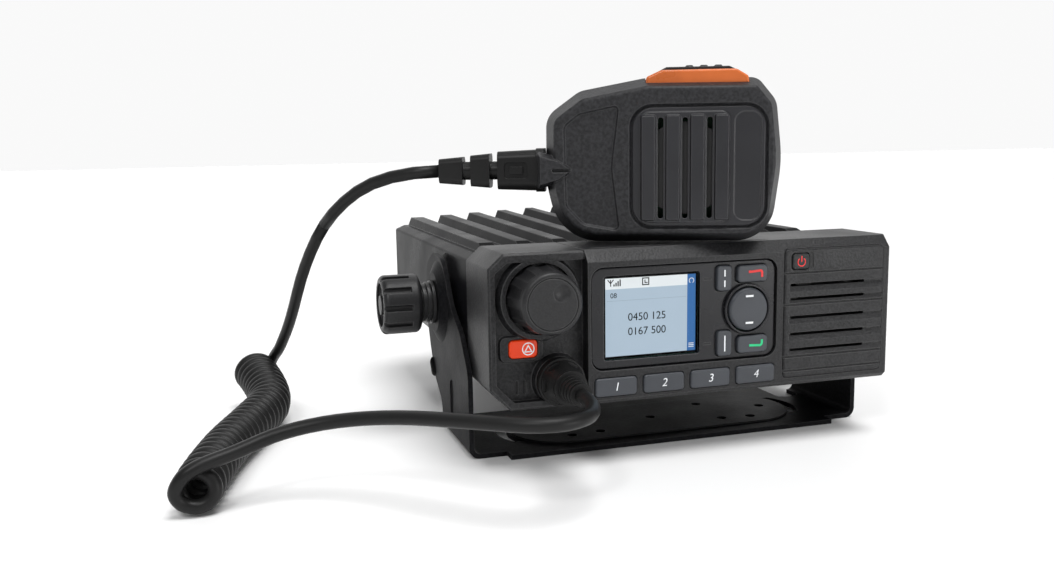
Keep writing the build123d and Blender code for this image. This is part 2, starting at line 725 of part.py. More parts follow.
with BuildPart() as speaker_cap:
    with BuildSketch(front_plane(cap_back)):
        with Locations(cap_centre):
            RectangleRounded(cap_size[0] - 0.2, cap_size[1] - 0.2, cap_corner - 0.1)
    extrude(amount=cap_back - cap_face)
    fillet(speaker_cap.faces().sort_by(Axis.Y)[0].edges(), 0.9)
    # hollow back
    with BuildSketch(front_plane(cap_back + 1)):
        with Locations(cap_centre):
            RectangleRounded(*cap_hollow, 1.5)
    extrude(amount=cap_back + 1 - inner_front, mode=Mode.SUBTRACT)
    # lines across the whole cap
    with BuildSketch(front_plane(cap_face)):
        for height in line_heights:
            with Locations((cap_centre[0], height)):
                Rectangle(cap_size[0] + 2, 0.8)
    extrude(amount=-0.8, mode=Mode.SUBTRACT)
    # each rib slopes back from its slot, and runs out over the right-hand edge
    for height in slot_heights:
        with BuildSketch(Plane.YZ.offset(slot_left - 1)):
            with BuildLine():
                Polyline((cap_face - 0.1, height - 3.0), (cap_face, height - 2.8),
                         (cap_face + 0.9, height), (cap_face + 0.9, height + 0.4),
                         (cap_face - 0.1, height + 0.65), close=True)
            make_face()
        extrude(amount=60, mode=Mode.SUBTRACT)
    with BuildSketch(front_plane(cap_face - 1)):
        for height in slot_heights:
            with Locations(((slot_left + slot_right) / 2, height)):
                SlotOverall(slot_right - slot_left, 1.3)
        with Locations((power_x, power_z)):
            RectangleRounded(power_size[0] + 2 * gap, power_size[1] + 2 * gap, 1.7)
    extrude(amount=-6, mode=Mode.SUBTRACT)
    # shallow well round the power key
    with BuildSketch(front_plane(cap_face)):
        with Locations((power_x + 0.5, power_z)):
            RectangleRounded(power_size[0] + 2.6, power_size[1] + 2.0, 2.2)
    extrude(amount=-0.5, taper=20, mode=Mode.SUBTRACT)
save(speaker_cap.part, "speaker_cap")

moulded_key("power_key", power_x, power_z, *power_size, 1.6, cap_face - 0.1, flange_y - 0.6, 0.6)

speaker_x = 60.0
speaker_z = 51.0
with BuildPart() as loudspeaker:
    with BuildSketch(front_plane(cap_back - 2.6)):
        with Locations((speaker_x, speaker_z)):
            Circle(21)
    extrude(amount=-2.0)
    with BuildSketch(front_plane(cap_back - 0.6)):
        with Locations((speaker_x, speaker_z)):
            Circle(19.5)
    with BuildSketch(front_plane(cap_back + 9)):
        with Locations((speaker_x, speaker_z)):
            Circle(13)
    loft()
    with BuildSketch(front_plane(cap_back + 9)):
        with Locations((speaker_x, speaker_z)):
            Circle(15)
    extrude(amount=-9)
    with BuildSketch(front_plane(cap_back - 3)):
        with Locations((speaker_x, speaker_z)):
            Circle(17.5)
    with BuildSketch(front_plane(cap_back + 6)):
        with Locations((speaker_x, speaker_z)):
            Circle(6)
    loft(mode=Mode.SUBTRACT)
save(loudspeaker.part, "loudspeaker")

# ---------------------------------------------------------------- knob side
knob_face = front_y - 12.0
knob_back = floor_y - 0.6
shaft_radius = 3.0
knob_front_radius = 11.6
grip_count = 10
grip_radius = 6.0
with BuildPart() as volume_knob:
    with BuildSketch(front_plane(knob_back)):
        with Locations((knob_x, knob_z)):
            Circle(volume_radius)
    with BuildSketch(front_plane(knob_face)):
        with Locations((knob_x, knob_z)):
            Circle(knob_front_radius)
    loft()
    fillet(volume_knob.faces().sort_by(Axis.Y)[0].edges(), 1.5)
    # wide, soft grip hollows that stop short of the front rim
    for count in range(grip_count):
        turn = 2 * pi * (count + 0.5) / grip_count
        back_place = volume_radius + grip_radius - 0.9
        front_place = knob_front_radius + grip_radius - 0.3
        with BuildSketch(front_plane(knob_back + 0.1)):
            with Locations((knob_x + back_place * cos(turn), knob_z + back_place * sin(turn))):
                Circle(grip_radius)
        with BuildSketch(front_plane(knob_face + 3.4)):
            with Locations((knob_x + front_place * cos(turn), knob_z + front_place * sin(turn))):
                Circle(grip_radius)
        loft(mode=Mode.SUBTRACT)
    # fine ring groove round the flat face
    with BuildSketch(front_plane(knob_face)):
        with Locations((knob_x, knob_z)):
            Circle(9.9)
            Circle(9.5, mode=Mode.SUBTRACT)
    extrude(amount=-0.5, mode=Mode.SUBTRACT)
    # finger dimple near the edge of the face
    with Locations((knob_x + 3.6, knob_face - 5.3, knob_z + 4.0)):
        Sphere(6.3, mode=Mode.SUBTRACT)
    with BuildSketch(front_plane(knob_back + 1)):
        with Locations((knob_x, knob_z)):
            Circle(shaft_radius + running)
    extrude(amount=12, mode=Mode.SUBTRACT)
save(volume_knob.part, "volume_knob")

with BuildPart() as rotary_encoder:
    with BuildSketch(front_plane(floor_y + wall)):
        with Locations((knob_x, knob_z)):
            RectangleRounded(14, 14, 1)
    extrude(amount=-8)
    with BuildSketch(front_plane(floor_y + wall)):
        with Locations((knob_x, knob_z)):
            Circle(shaft_radius)
    extrude(amount=floor_y + wall - knob_back + 9)
save(rotary_encoder.part, "rotary_encoder")

moulded_key("emergency_key", emergency_x, emergency_z, *emergency_size, 1.8,
            floor_y - 2.1, floor_y + wall + gap, 0.7)

with BuildPart() as control_board:
    with BuildSketch(front_plane(floor_y + wall + gap + flange_thick + 1.0)):
        with Locations((-66.5, 48.5)):
            RectangleRounded(30, 19, 1)
        with Locations((jack_x, jack_z)):
            Circle(8.4, mode=Mode.SUBTRACT)
        with Locations((knob_x, knob_z)):
            Rectangle(15, 15, mode=Mode.SUBTRACT)
    extrude(amount=-1.6)
save(control_board.part, "control_board")

with BuildPart() as microphone_jack:
    with BuildSketch(front_plane(floor_y - 2.4)):
        with Locations((jack_x, jack_z)):
            Circle(7.6)
            Circle(6.3, mode=Mode.SUBTRACT)
    extrude(amount=-14)
    with BuildSketch(front_plane(floor_y + 9.6)):
        with Locations((jack_x, jack_z)):
            Circle(7.2)
    extrude(amount=-4)
save(microphone_jack.part, "microphone_jack")

# ================================================================ palm microphone
# Local axes: x along the microphone to its right end, y up, z out of its front.
mic_turn = -22.7           # it stands turned towards the user's left
mic_foot = (-5.85, -32.75, panel_top + gap)
cord_axis_y = 29.2         # height of the cord's entry
boot_end = -94.0
boot_tip = boot_end + 0.3
mic_front = 13.0           # front shell, from the parting plane
mic_back = 15.0
mic_plane = Plane(
    origin=mic_foot,
    x_dir=(cos(radians(mic_turn)), sin(radians(mic_turn)), 0),
    z_dir=(sin(radians(mic_turn)), -cos(radians(mic_turn)), 0),
)
mic_points = [(-44.5, 0), (39.2, 0), (43.4, 32), (41.0, 55), (33.5, 64.3),
              (-10.5, 64.8), (-36.5, 60.2), (-50.0, 50.5), (-50.2, 24)]
mic_radii = [20, 15, 60, 9, 6, 14, 9, 9, 30]
grille_centre = (9.8, 30)
grille_size = (51.0, 46.0)
trim_left = -10.4
trim_right = 29.6
trim_low = 61.6
trim_high = 67.4
trim_middle = (trim_left + trim_right) / 2
key_left = -5.2            # talk key
key_right = 25.2


def mic_level(depth):
    """Drawing plane at a depth in the microphone, seen from its front."""
    return mic_plane.offset(depth)


mic_axis = Axis(mic_foot, mic_plane.z_dir)
mic_outline = closed_outline(mic_points, mic_radii)
with BuildSketch() as mic_inside_sketch:
    add(mic_outline)
    offset(amount=-2.0, kind=Kind.INTERSECTION)
mic_inside = mic_inside_sketch.sketch

with BuildPart() as mic_front_shell:
    with BuildSketch(mic_level(0)):
        add(mic_outline)
    extrude(amount=mic_front, taper=17)
    fillet(mic_front_shell.faces().sort_by(mic_axis)[-1].edges(), 1.6)
    # hollow inside
    with BuildSketch(mic_level(-1)):
        add(mic_inside)
    extrude(amount=mic_front - 1.2, taper=17, mode=Mode.SUBTRACT)
    # seat for the grille insert, and the sunken grip panel at the cord end
    with BuildSketch(mic_level(mic_front)):
        with Locations(grille_centre):
            RectangleRounded(grille_size[0] + 2.6, grille_size[1] + 2.6, 9)
    extrude(amount=-1.6, taper=32, mode=Mode.SUBTRACT)
    with BuildSketch(mic_level(mic_front)):
        add(closed_outline([(-42.0, 15), (-35, 7.5), (-20.5, 5), (-23.5, 30), (-20.5, 54.4),
                            (-36.5, 51.2), (-42.6, 46.5)],
                           [4, 5, 2, 30, 2, 5, 4]))
    extrude(amount=-1.1, taper=35, mode=Mode.SUBTRACT)
    with BuildSketch(mic_level(mic_front - 3)):
        with Locations((-4.8, 29.5), (4.6, 29.5), (14.0, 29.5)):
            SlotOverall(40, 2.2, rotation=90)
    extrude(amount=3, mode=Mode.SUBTRACT)
    # tongue that grips the boot, with a slit in it
    with BuildSketch(mic_level(8)):
        add(closed_outline([(-53.2, 21.6), (-44, 24.2), (-36.6, cord_axis_y), (-44, 34.2), (-53.2, 36.8)],
                           [1, 3, 2.5, 3, 1]))
    extrude(amount=mic_front - 6.6, taper=14)
    with BuildSketch(mic_level(mic_front + 2)):
        with Locations((-43.4, cord_axis_y)):
            SlotOverall(7.4, 1.5)
    extrude(amount=-2.4, mode=Mode.SUBTRACT)
    # notch for the talk key's surround
    with BuildSketch(mic_level(-1)):
        with Locations((trim_middle, trim_low + 5)):
            Rectangle(trim_right - trim_left, 10)
        with Locations(((key_left + key_right) / 2, trim_low)):
            Rectangle(key_right - key_left + 1, 3)
    extrude(amount=8.4, mode=Mode.SUBTRACT)
    # cord entry
    with BuildSketch(mic_level(-8)):
        with Locations((-52, cord_axis_y)):
            Rectangle(13, 9)
    extrude(amount=12.5, mode=Mode.SUBTRACT)
save(mic_front_shell.part, "mic_front_shell")

with BuildPart() as mic_rear_shell:
    with BuildSketch(mic_level(0)):
        add(mic_outline)
    extrude(amount=-mic_back, taper=3)
    fillet(mic_rear_shell.faces().sort_by(mic_axis)[0].edges(), 3.0)
    with BuildSketch(mic_level(1)):
        add(mic_inside)
    extrude(amount=-(mic_back - 1.2), taper=3, mode=Mode.SUBTRACT)
    with BuildSketch(mic_level(1)):
        with Locations((trim_middle, trim_low + 5)):
            Rectangle(trim_right - trim_left, 10)
        with Locations(((key_left + key_right) / 2, trim_low)):
            Rectangle(key_right - key_left + 1, 3)
    extrude(amount=-10.4, mode=Mode.SUBTRACT)
    with BuildSketch(mic_level(-4.5)):
        with Locations((-52, cord_axis_y)):
            Rectangle(12, 9)
    extrude(amount=10, mode=Mode.SUBTRACT)
    # four screw holes, and the hole for the hang-up stud
    with BuildSketch(mic_level(-mic_back - 1)):
        with Locations((-38, 10), (30, 10), (-36, 48), (30, 52)):
            Circle(2.6)
    extrude(amount=2.4, mode=Mode.SUBTRACT)
    with BuildSketch(mic_level(-mic_back - 1)):
        with Locations((-38, 10), (30, 10), (-36, 48), (30, 52)):
            Circle(1.2)
        with Locations((-4, 36)):
            Circle(2.5)
    extrude(amount=8, mode=Mode.SUBTRACT)
save(mic_rear_shell.part, "mic_rear_shell")

with BuildPart() as mic_screws:
    for place_x, place_y in ((-38, 10), (30, 10), (-36, 48), (30, 52)):
        with BuildSketch(mic_level(-mic_back + 0.2)):
            with Locations((place_x, place_y)):
                Circle(2.5)
                RegularPolygon(1.1, 6, mode=Mode.SUBTRACT)
        extrude(amount=0.6)
        with BuildSketch(mic_level(-mic_back + 0.8)):
            with Locations((place_x, place_y)):
                Circle(2.5)
        extrude(amount=0.5)
        with BuildSketch(mic_level(-mic_back + 1.3)):
            with Locations((place_x, place_y)):
                Circle(1.15)
        extrude(amount=5)
save(mic_screws.part, "mic_screws")

with BuildPart() as mic_hang_stud:
    with BuildSketch(mic_level(-mic_back)):
        with Locations((-4, 36)):
            Circle(3.6)
    extrude(amount=-4)
    with BuildSketch(mic_level(-mic_back - 4)):
        with Locations((-4, 36)):
            Circle(7.0)
    extrude(amount=-2.4)
    fillet(mic_hang_stud.faces().sort_by(mic_axis)[0].edges(), 0.9)
    with BuildSketch(mic_level(-mic_back)):
        with Locations((-4, 36)):
            Circle(2.45)
    extrude(amount=4)
save(mic_hang_stud.part, "mic_hang_stud")

slot_places = [(-4.8, 29.5), (4.6, 29.5), (14.0, 29.5)]
grille_back = mic_front - 1.6
grille_face = mic_front - 0.3
with BuildPart() as mic_grille:
    with BuildSketch(mic_level(grille_back)):
        with Locations(grille_centre):
            RectangleRounded(*grille_size, 7.9)
    extrude(amount=grille_face - grille_back)
    fillet(mic_grille.faces().sort_by(mic_axis)[-1].edges(), 0.6)
    # raised field with the ribs; the field beside it stays plain
    with BuildSketch(mic_level(grille_face)):
        with Locations((4.6, 29.8)):
            RectangleRounded(34, 43.0, 3.5)
    extrude(amount=0.6, taper=30)
    for place_x in (-9.6, -0.1, 9.3, 18.7):
        with BuildSketch(mic_level(grille_face + 0.5)):
            with Locations((place_x, 29.6)):
                RectangleRounded(6.0, 41.0, 1.0)
        extrude(amount=1.5, taper=20)
    with BuildSketch(mic_level(grille_back - 1)):
        with Locations(*slot_places):
            SlotOverall(39, 2.2, rotation=90)
    extrude(amount=5, mode=Mode.SUBTRACT)
    with BuildSketch(mic_level(grille_face)):
        with Locations((28.6, 30)):
            RectangleRounded(10.4, 42, 4)
    extrude(amount=-0.4, taper=30, mode=Mode.SUBTRACT)
save(mic_grille.part, "mic_grille")

with BuildPart() as talk_key_surround:
    with BuildSketch(mic_level(-9.4)):
        add(closed_outline(
            [(trim_left, trim_low), (trim_right, trim_low), (trim_right - 0.4, 64.6),
             (trim_right - 5, trim_high), (trim_left + 6, trim_high), (trim_left + 0.2, 64.8)],
            [0.3, 0.3, 1.5, 3, 3, 1.5]))
    extrude(amount=16.6)
    front_edges = talk_key_surround.faces().sort_by(mic_axis)[-1].edges()
    fillet(front_edges.filter_by_position(Axis.Z, panel_top + 64, 200), 1.0)
    with BuildSketch(mic_level(-7.2)):
        with Locations(((key_left + key_right) / 2, 66)):
            Rectangle(key_right - key_left + 2 * gap, 12)
    extrude(amount=10.4, mode=Mode.SUBTRACT)
save(talk_key_surround.part, "talk_key_surround")

with BuildPart() as talk_key:
    with BuildSketch(mic_level(-7.2 + gap)):
        add(closed_outline(
            [(key_left, trim_low + 0.6), (key_right, trim_low + 0.6), (key_right, 67.2),
             (key_right - 3, 68.7), (key_left + 3, 68.7), (key_left, 67.2)],
            [0.4, 0.4, 1.0, 1.5, 1.5, 1.0]))
    extrude(amount=10.4 - 2 * gap)
    for place_x in (6.8, 12.4, 18.0):
        with BuildSketch(mic_level(-6)):
            with Locations((place_x, 68.7)):
                SlotOverall(3.0, 1.2)
        extrude(amount=8)
save(talk_key.part, "talk_key")

with BuildPart() as mic_speaker:
    with BuildSketch(mic_level(mic_front - 3.4)):
        with Locations((4.6, 29.5)):
            Circle(18)
    extrude(amount=-2.4)
    with BuildSketch(mic_level(mic_front - 5.8)):
        with Locations((4.6, 29.5)):
            Circle(10)
    extrude(amount=-3.6)
save(mic_speaker.part, "mic_speaker")

with BuildPart() as mic_board:
    with BuildSketch(mic_level(-1.5)):
        with Locations((-2, 30)):
            RectangleRounded(72, 46, 3)
    extrude(amount=-1.6)
    with BuildSketch(mic_level(-1.5)):
        with Locations((10, 56)):
            Rectangle(10, 8)
    extrude(amount=-1.6)
save(mic_board.part, "mic_board")

# ================================================================ cord
# Boot on the microphone: local -x is the way the cord leaves.


def boot_plane(along):
    """Drawing plane across the boot; local x is the microphone's front, local y is up."""
    centre = mic_plane.from_local_coords((along, cord_axis_y, 0))
    return Plane(origin=centre, x_dir=mic_plane.z_dir, z_dir=-mic_plane.x_dir)


with BuildPart() as mic_boot:
    with BuildSketch(boot_plane(-45.2)):
        RectangleRounded(8.6, 8.6, 2)
    extrude(amount=8)
    with BuildSketch(boot_plane(-50.6)):
        RectangleRounded(14.4, 17.4, 4)
    extrude(amount=3.4)
    with BuildSketch(boot_plane(-54.0)):
        RectangleRounded(13.2, 16.4, 3.6)
    with BuildSketch(boot_plane(-69.6)):
        RectangleRounded(12.0, 15.2, 3.4)
    loft()
    # sunken panel on the front and back of the main block
    for side in (-1, 1):
        middle = mic_plane.from_local_coords((-62, cord_axis_y, side * 6.8))
        with BuildSketch(Plane(origin=middle, x_dir=mic_plane.x_dir, z_dir=mic_plane.z_dir * side)):
            RectangleRounded(9.5, 6.4, 1.4)
            RectangleRounded(5.6, 3.0, 0.6, mode=Mode.SUBTRACT)
        extrude(amount=-1.4, mode=Mode.SUBTRACT)
    # two shorter blocks on a thin core let the boot bend
    for near, far, near_size, far_size in ((-72.8, -80.6, 13.8, 12.4), (-84.0, boot_tip, 11.4, 9.8)):
        with BuildSketch(boot_plane(near)):
            RectangleRounded(near_size * 0.88, near_size, 2.6)
        with BuildSketch(boot_plane(far)):
            RectangleRounded(far_size * 0.88, far_size, 2.4)
        loft()
    with BuildSketch(boot_plane(-69)):
        Circle(3.7)
    extrude(amount=-69 - boot_tip)
save(mic_boot.part, "mic_boot")

plug_front = floor_y - 3.6
plug_radius = 9.4
plug_waist = 6.6           # radius of the collar's front rim
plug_length = 13.4
boot_back = plug_front - plug_length
plug_end = front_y - 22.0
boot_thick = 5.2
boot_thin = 4.2
with BuildPart() as mic_plug:
    with BuildSketch(front_plane(floor_y + 4)):
        with Locations((jack_x, jack_z)):
            Circle(6.0)
    extrude(amount=4 + floor_y - plug_front)
    with BuildSketch(front_plane(plug_front)):
        with Locations((jack_x, jack_z)):
            Circle(plug_radius)
    extrude(amount=3.4)
    # the collar narrows towards a plain rim
    with BuildSketch(front_plane(plug_front - 3.4)):
        with Locations((jack_x, jack_z)):
            Circle(plug_radius - 0.6)
    with BuildSketch(front_plane(plug_front - plug_length + 1.8)):
        with Locations((jack_x, jack_z)):
            Circle(plug_waist - 0.3)
    loft()
    with BuildSketch(front_plane(plug_front - plug_length + 1.8)):
        with Locations((jack_x, jack_z)):
            Circle(plug_waist)
    extrude(amount=1.8)
    # sunken grips round the collar
    with BuildSketch(front_plane(plug_front - 4.6)):
        with Locations((jack_x, jack_z)):
            with PolarLocations(plug_radius - 0.6, 6):
                RectangleRounded(2.6, 4.8, 0.4)
    extrude(amount=5.0, mode=Mode.SUBTRACT)
save(mic_plug.part, "mic_plug")

boot_run = boot_back - plug_end
with BuildPart() as plug_boot:
    with BuildSketch(front_plane(boot_back)):
        with Locations((jack_x, jack_z)):
            Circle(boot_thick)
    with BuildSketch(front_plane(plug_end)):
        with Locations((jack_x, jack_z)):
            Circle(boot_thin)
    loft()
    for count in range(4):
        ring_y = boot_back - 2.6 * count - 1.2
        ring_r = boot_thick - (boot_thick - boot_thin) * (boot_back - ring_y) / boot_run
        with BuildSketch(front_plane(ring_y)):
            with Locations((jack_x, jack_z)):
                Circle(ring_r + 1)
                Circle(ring_r - 0.8, mode=Mode.SUBTRACT)
        extrude(amount=1.0, mode=Mode.SUBTRACT)
save(plug_boot.part, "plug_boot")

upper_start = mic_plane.from_local_coords((boot_end, cord_axis_y, 0))
upper_route = [
    (upper_start.X, upper_start.Y, upper_start.Z),
    (-113.8, 12.4, 114.2),
    (-134.0, 34.0, 98.0),
    (-144.5, 54.0, 73.0),
    (-150.0, 74.0, 45.0),
    (-157.0, 94.0, 18.5),
]
coil_route = [
    (-194.0, -54.0, 9.3),
    (-186.5, -14.0, 9.3),
    (-172.0, 27.0, 9.3),
    (-161.5, 64.0, 11.0),
    (-164.5, 98.0, 17.0),
]
lower_route = [
    (jack_x, plug_end, jack_z),
    (jack_x, -85.0, 35.3),
    (-67.2, -100.6, 34.9),
    (-84.4, -104.4, 35.0),
    (-104.0, -88.0, 34.4),
    (-125.0, -64.0, 32.0),
    (-145.0, -49.5, 28.8),
    (-164.0, -46.0, 25.4),
    (-180.0, -48.5, 21.4),
    (-191.5, -52.0, 16.6),
]


def corner_radii(route):
    """Largest arc for each corner: 0.45 of the shorter run over the tangent of half the turn."""
    runs = [Vector(end) - Vector(start) for start, end in zip(route, route[1:])]
    radii = []
    for before, after in zip(runs, runs[1:]):
        half_turn = radians(before.get_angle(after)) / 2
        radii.append(0.45 * min(before.length, after.length) / tan(half_turn))
    return radii


def cord_solid(name, route, radius):
    """Round tube along straight runs joined by tangent arcs."""
    radii = corner_radii(route)
    with BuildPart() as tube:
        with BuildLine() as path:
            FilletPolyline(*route, radius=radii)
        start = Plane(origin=path.line @ 0, z_dir=path.line % 0)
        with BuildSketch(start):
            Circle(radius)
        sweep()
    save(tube.part, name)
    length = path.wire().length
    ratio = tube.part.volume / (pi * radius ** 2 * length)
    print(name, "length", round(length, 1), "radii", [round(value, 1) for value in radii])
    print(name, "volume over section times length", round(ratio, 4))


cord_solid("cord_upper_lead", upper_route, lead_radius)
cord_solid("cord_coil", coil_route, coil_radius)
cord_solid("cord_lower_lead", lower_route, lead_radius)
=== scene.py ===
import json
from math import cos, hypot, pi, radians, sin

import bmesh
import bpy
from mathutils import Matrix, Vector


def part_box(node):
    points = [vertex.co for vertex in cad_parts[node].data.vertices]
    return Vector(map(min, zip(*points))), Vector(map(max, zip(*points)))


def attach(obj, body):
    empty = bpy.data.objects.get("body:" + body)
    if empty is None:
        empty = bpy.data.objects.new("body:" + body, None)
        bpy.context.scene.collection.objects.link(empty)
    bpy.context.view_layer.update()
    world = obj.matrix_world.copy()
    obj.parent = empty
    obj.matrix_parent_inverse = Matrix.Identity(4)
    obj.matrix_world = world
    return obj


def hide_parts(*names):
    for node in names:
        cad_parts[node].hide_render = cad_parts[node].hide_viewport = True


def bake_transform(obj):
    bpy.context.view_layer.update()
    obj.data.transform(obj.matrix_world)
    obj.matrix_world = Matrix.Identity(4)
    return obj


# Looks of a vehicle two-way radio in its bracket, with a palm microphone on a curly cord.
# Metres, in the frame's axes: the front panel faces -Y and +Z is up.
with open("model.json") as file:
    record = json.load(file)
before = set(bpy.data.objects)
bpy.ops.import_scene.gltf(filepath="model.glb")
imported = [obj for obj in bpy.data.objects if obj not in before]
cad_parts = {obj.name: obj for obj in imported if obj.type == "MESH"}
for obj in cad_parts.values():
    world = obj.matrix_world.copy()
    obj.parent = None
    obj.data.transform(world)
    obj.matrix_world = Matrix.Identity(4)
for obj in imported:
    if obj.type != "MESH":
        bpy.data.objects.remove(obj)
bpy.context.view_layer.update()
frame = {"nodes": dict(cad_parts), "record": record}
nodes = frame["nodes"]
MM = 0.001


# ---------------------------------------------------------------- camera, floor, light
def add_camera():
    """Camera on the user's left, a little above the panel, looking down at it."""
    place = Vector((-0.182643, -0.401671, 0.126478))
    yaw, pitch, roll = 0.303169, 0.145203, -0.0163005
    ahead = Vector((sin(yaw) * cos(pitch), cos(yaw) * cos(pitch), -sin(pitch)))
    right = Vector((cos(yaw), -sin(yaw), 0))
    up = right.cross(ahead)
    right, up = cos(roll) * right + sin(roll) * up, cos(roll) * up - sin(roll) * right
    data = bpy.data.cameras.new("camera")
    data.sensor_width = 36
    data.lens = 34.287
    data.clip_start = 0.02
    camera = bpy.data.objects.new("camera", data)
    camera.matrix_world = Matrix((
        (right.x, up.x, -ahead.x, place.x),
        (right.y, up.y, -ahead.y, place.y),
        (right.z, up.z, -ahead.z, place.z),
        (0, 0, 0, 1),
    ))
    bpy.context.scene.collection.objects.link(camera)
    bpy.context.scene.camera = camera


def add_light(name, place, aim, size, power):
    """Square soft box at a place, turned towards a point."""
    data = bpy.data.lights.new(name, "AREA")
    data.shape = "SQUARE"
    data.size = size
    data.energy = power
    light = bpy.data.objects.new(name, data)
    light.location = place
    light.rotation_euler = (Vector(aim) - Vector(place)).to_track_quat("-Z", "Y").to_euler()
    bpy.context.scene.collection.objects.link(light)


def add_studio():
    """Pale floor, a room that is bright behind the radio and dim in front, and soft lamps."""
    world = bpy.data.worlds.new("studio")
    world.use_nodes = True
    tree = world.node_tree
    way = tree.nodes.new("ShaderNodeTexCoord")
    parts = tree.nodes.new("ShaderNodeSeparateXYZ")
    bright = tree.nodes.new("ShaderNodeMapRange")
    bright.interpolation_type = "SMOOTHSTEP"
    bright.inputs["From Min"].default_value = 0.25
    bright.inputs["From Max"].default_value = 0.65
    bright.inputs["To Min"].default_value = 0.3
    bright.inputs["To Max"].default_value = 0.95
    tree.links.new(way.outputs["Generated"], parts.inputs["Vector"])
    tree.links.new(parts.outputs["Y"], bright.inputs["Value"])
    tree.links.new(bright.outputs["Result"], tree.nodes["Background"].inputs["Strength"])
    tree.nodes["Background"].inputs["Color"].default_value = (1, 1, 1, 1)
    bpy.context.scene.world = world
    bpy.context.scene.view_settings.view_transform = "Standard"
    bpy.ops.mesh.primitive_plane_add(size=12, location=(0, 0, 0))
    floor = bpy.context.object
    floor.name = "floor"
    material, _ = new_material("floor_paint", (0.9, 0.9, 0.9), 0.6)
    floor.data.materials.append(material)
    add_light("key_light", (-0.55, -0.75, 0.85), (0, 0, 0.06), 0.22, 3.5)
    overhead = bpy.data.lights.new("overhead", "SUN")
    overhead.energy = 2.4
    overhead.angle = radians(32)
    lamp = bpy.data.objects.new("overhead", overhead)
    lamp.rotation_euler = (radians(15), radians(9), 0)
    bpy.context.scene.collection.objects.link(lamp)
    add_light("right_light", (0.75, -1.0, 0.16), (0.03, 0, 0.06), 0.3, 3)
    add_light("back_light", (-0.25, 0.95, 0.6), (0, 0.05, 0.08), 0.6, 0.2)


# ---------------------------------------------------------------- materials
SPECKLED = 0.2               # from this mottle up, the colour follows the fine grain


def new_material(name, colour, roughness, metallic=0.0):
    """Material with a plain shader, and that shader."""
    material = bpy.data.materials.new(name)
    material.use_nodes = True
    shader = material.node_tree.nodes["Principled BSDF"]
    shader.inputs["Base Color"].default_value = (*colour, 1)
    shader.inputs["Roughness"].default_value = roughness
    shader.inputs["Metallic"].default_value = metallic
    return material, shader


def add_node(material, kind, **inputs):
    """New node with the named inputs set."""
    node = material.node_tree.nodes.new(kind)
    for key, value in inputs.items():
        node.inputs[key.replace("_", " ")].default_value = value
    return node


def link(material, source, target):
    material.node_tree.links.new(source, target)


def noise(material, scale, detail=3.0, stretch=(1, 1, 1)):
    """Noise over the object's own coordinates, in metres."""
    place = material.node_tree.nodes.new("ShaderNodeTexCoord")
    mapping = add_node(material, "ShaderNodeMapping")
    mapping.inputs["Scale"].default_value = stretch
    texture = add_node(material, "ShaderNodeTexNoise", Scale=scale, Detail=detail)
    link(material, place.outputs["Object"], mapping.inputs["Vector"])
    link(material, mapping.outputs["Vector"], texture.inputs["Vector"])
    return texture.outputs["Fac"]


def spread(material, source, low, high):
    """Turns a noise into a range of numbers."""
    node = material.node_tree.nodes.new("ShaderNodeMapRange")
    node.inputs["From Min"].default_value = 0.3
    node.inputs["From Max"].default_value = 0.7
    node.inputs["To Min"].default_value = low
    node.inputs["To Max"].default_value = high
    link(material, source, node.inputs["Value"])
    return node.outputs["Result"]


def vary_colour(material, shader, source, dark, light):
    """Lets the base colour wander between two colours."""
    ramp = material.node_tree.nodes.new("ShaderNodeValToRGB")
    ramp.color_ramp.elements[0].position = 0.35
    ramp.color_ramp.elements[0].color = (*dark, 1)
    ramp.color_ramp.elements[1].position = 0.65
    ramp.color_ramp.elements[1].color = (*light, 1)
    link(material, source, ramp.inputs["Fac"])
    link(material, ramp.outputs["Color"], shader.inputs["Base Color"])
    return ramp.outputs["Color"]


def relief(material, shader, source, strength, depth, rounding):
    """Bump from a noise, on edges that are rounded by a small radius; gives the rounded normal."""
    bump = add_node(material, "ShaderNodeBump", Strength=strength, Distance=depth)
    edge = add_node(material, "ShaderNodeBevel", Radius=rounding)
    edge.samples = 6
    link(material, source, bump.inputs["Height"])
    link(material, edge.outputs["Normal"], bump.inputs["Normal"])
    link(material, bump.outputs["Normal"], shader.inputs["Normal"])
    return edge.outputs["Normal"]


def rub_edges(material, shader, tint, rounded, highlight_colour):
    """Painted highlight: lightens the colour where the surface bends at an edge, on raised and
    hollow edges alike, standing in for light caught along the edges.
    """
    surface = material.node_tree.nodes.new("ShaderNodeNewGeometry")
    match = material.node_tree.nodes.new("ShaderNodeVectorMath")
    match.operation = "DOT_PRODUCT"
    bend = material.node_tree.nodes.new("ShaderNodeMapRange")
    bend.inputs["From Min"].default_value = 0.995
    bend.inputs["From Max"].default_value = 0.88
    mix = material.node_tree.nodes.new("ShaderNodeMix")
    mix.data_type = "RGBA"
    mix.inputs["B"].default_value = (*highlight_colour, 1)
    link(material, rounded, match.inputs[0])
    link(material, surface.outputs["Normal"], match.inputs[1])
    link(material, match.outputs["Value"], bend.inputs["Value"])
    link(material, bend.outputs["Result"], mix.inputs["Factor"])
    link(material, tint, mix.inputs["A"])
    link(material, mix.outputs["Result"], shader.inputs["Base Color"])


